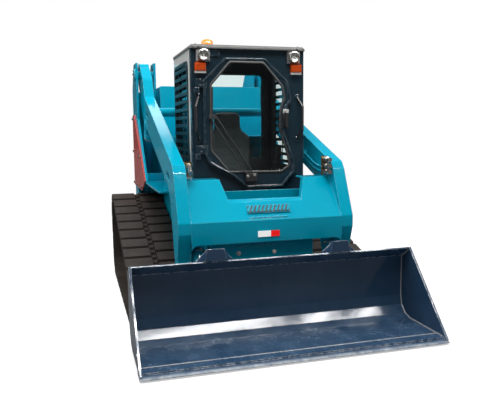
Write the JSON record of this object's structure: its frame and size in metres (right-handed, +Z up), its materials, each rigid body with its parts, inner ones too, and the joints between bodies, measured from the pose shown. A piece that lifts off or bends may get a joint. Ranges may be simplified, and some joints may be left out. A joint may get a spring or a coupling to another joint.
{
  "type": "skid steer loader",
  "caption": "Compact skid steer loader on rubber tracks, with a closed cab, radial lift arms, a low bucket, a front door and a rear tailgate.",
  "frame": {"origin": "on the ground, under the middle of the machine's length and width", "axes": "+X the operator's left, +Y the back of the machine, +Z up"},
  "size_m": [1.98, 3.5, 2.098],
  "materials": {
    "teal_paint": "gloss",
    "red_paint": "gloss",
    "rubber_track": "matte",
    "undercarriage_paint": "satin",
    "dark_paint": "gloss",
    "roof_shell": "satin",
    "tinted_glass": "clear",
    "black_plastic": "satin",
    "seat_cover": "woven",
    "lamp_lens": "gloss",
    "amber_lens": "gloss",
    "red_lens": "gloss",
    "reflector_sheet": "gloss",
    "engine_casting": "cast",
    "steel": "bright",
    "cylinder_paint": "gloss"
  },
  "bodies": {
    "chassis": {"chassis_tub": "teal_paint", "rear_body": "teal_paint", "tower_left": "teal_paint", "tower_right": "teal_paint", "tower_covers": "red_paint", "track_left": "rubber_track", "track_right": "rubber_track", "track_frame_left": "undercarriage_paint", "track_frame_right": "undercarriage_paint", "track_wheels_left": "undercarriage_paint", "track_wheels_right": "undercarriage_paint", "drive_sprockets": "undercarriage_paint", "rear_counterweight": "undercarriage_paint", "rear_lamps": "red_lens", "engine_block": "engine_casting", "cab_shell": "teal_paint", "cab_front_frame": "dark_paint", "cab_roof": "roof_shell", "side_screens": "teal_paint", "side_glass": "tinted_glass", "rear_glass": "tinted_glass", "work_lamps": "lamp_lens", "turn_signals": "amber_lens", "beacon": "amber_lens", "grab_bars": "black_plastic", "seat_pedestal": "black_plastic", "seat_cushion": "seat_cover", "seat_backrest": "seat_cover", "consoles": "black_plastic", "control_levers": "black_plastic"},
    "arms": {"lift_arm_left": "teal_paint", "lift_arm_right": "teal_paint", "arm_crossmember": "teal_paint", "arm_rear_tube": "teal_paint", "step_tread": "teal_paint", "reflector": "reflector_sheet", "arm_pipes": "steel", "couplers": "steel"},
    "bucket_and_hitch": {"bucket": "dark_paint", "bucket_guards": "dark_paint", "hitch_frame": "undercarriage_paint"},
    "door": {"door_frame": "dark_paint", "door_glass": "tinted_glass", "door_latch": "black_plastic", "wiper": "black_plastic"},
    "tailgate": {"tailgate": "teal_paint"},
    "lift_barrel_left": {"lift_barrel_left": "cylinder_paint"},
    "lift_rod_left": {"lift_rod_left": "steel"},
    "lift_barrel_right": {"lift_barrel_right": "cylinder_paint"},
    "lift_rod_right": {"lift_rod_right": "steel"},
    "tilt_barrel_left": {"tilt_barrel_left": "cylinder_paint"},
    "tilt_rod_left": {"tilt_rod_left": "steel"},
    "tilt_barrel_right": {"tilt_barrel_right": "cylinder_paint"},
    "tilt_rod_right": {"tilt_rod_right": "steel"}
  },
  "joints": [
    {"name": "lift", "type": "hinge", "parent": "chassis", "child": "arms", "pos_m": [0, 1.1, 1.925], "axis": [-1, 0, 0], "range_deg": [0, 65]},
    {"name": "tilt", "type": "hinge", "parent": "arms", "child": "bucket_and_hitch", "pos_m": [0, -1.005, 0.19], "axis": [1, 0, 0], "range_deg": [-25, 100]},
    {"name": "door_swing", "type": "hinge", "parent": "chassis", "child": "door", "pos_m": [-0.402, -0.586, 1.2], "axis": [0, 0, -1], "range_deg": [0, 90]},
    {"name": "tailgate_swing", "type": "hinge", "parent": "chassis", "child": "tailgate", "pos_m": [-0.478, 1.664, 1.1], "axis": [0, 0, 1], "range_deg": [0, 95]},
    {"name": "lift_barrel_left_pivot", "type": "hinge", "parent": "chassis", "child": "lift_barrel_left", "pos_m": [0.594, 1.27, 0.7], "axis": [-1, 0, 0], "range_deg": [-0.2, 8.49]},
    {"name": "lift_rod_left_slide", "type": "slide", "parent": "lift_barrel_left", "child": "lift_rod_left", "axis": [0, -0.6102, 0.7922], "range_m": [-0.002, 0.6562]},
    {"name": "tilt_barrel_left_pivot", "type": "hinge", "parent": "arms", "child": "tilt_barrel_left", "pos_m": [0.485, -0.68, 0.9], "axis": [1, 0, 0], "range_deg": [-1.2, 0.45]},
    {"name": "tilt_rod_left_slide", "type": "slide", "parent": "tilt_barrel_left", "child": "tilt_rod_left", "axis": [0, -0.5745, -0.8185], "range_m": [-0.0781, 0.3066]},
    {"name": "lift_barrel_right_pivot", "type": "hinge", "parent": "chassis", "child": "lift_barrel_right", "pos_m": [-0.594, 1.27, 0.7], "axis": [-1, 0, 0], "range_deg": [-0.2, 8.49]},
    {"name": "lift_rod_right_slide", "type": "slide", "parent": "lift_barrel_right", "child": "lift_rod_right", "axis": [0, -0.6102, 0.7922], "range_m": [-0.002, 0.6562]},
    {"name": "tilt_barrel_right_pivot", "type": "hinge", "parent": "arms", "child": "tilt_barrel_right", "pos_m": [-0.485, -0.68, 0.9], "axis": [1, 0, 0], "range_deg": [-1.2, 0.45]},
    {"name": "tilt_rod_right_slide", "type": "slide", "parent": "tilt_barrel_right", "child": "tilt_rod_right", "axis": [0, -0.5745, -0.8185], "range_m": [-0.0781, 0.3066]}
  ],
  "couplings": [
    {"joint": "lift_barrel_left_pivot", "follows": "lift", "ratio": 0.126},
    {"joint": "lift_rod_left_slide", "follows": "lift", "m_per_rad": 0.57575},
    {"joint": "tilt_barrel_left_pivot", "follows": "tilt", "ratio": -0.01},
    {"joint": "tilt_rod_left_slide", "follows": "tilt", "m_per_rad": 0.1745},
    {"joint": "lift_barrel_right_pivot", "follows": "lift", "ratio": 0.126},
    {"joint": "lift_rod_right_slide", "follows": "lift", "m_per_rad": 0.57575},
    {"joint": "tilt_barrel_right_pivot", "follows": "tilt", "ratio": -0.01},
    {"joint": "tilt_rod_right_slide", "follows": "tilt", "m_per_rad": 0.1745}
  ]
}
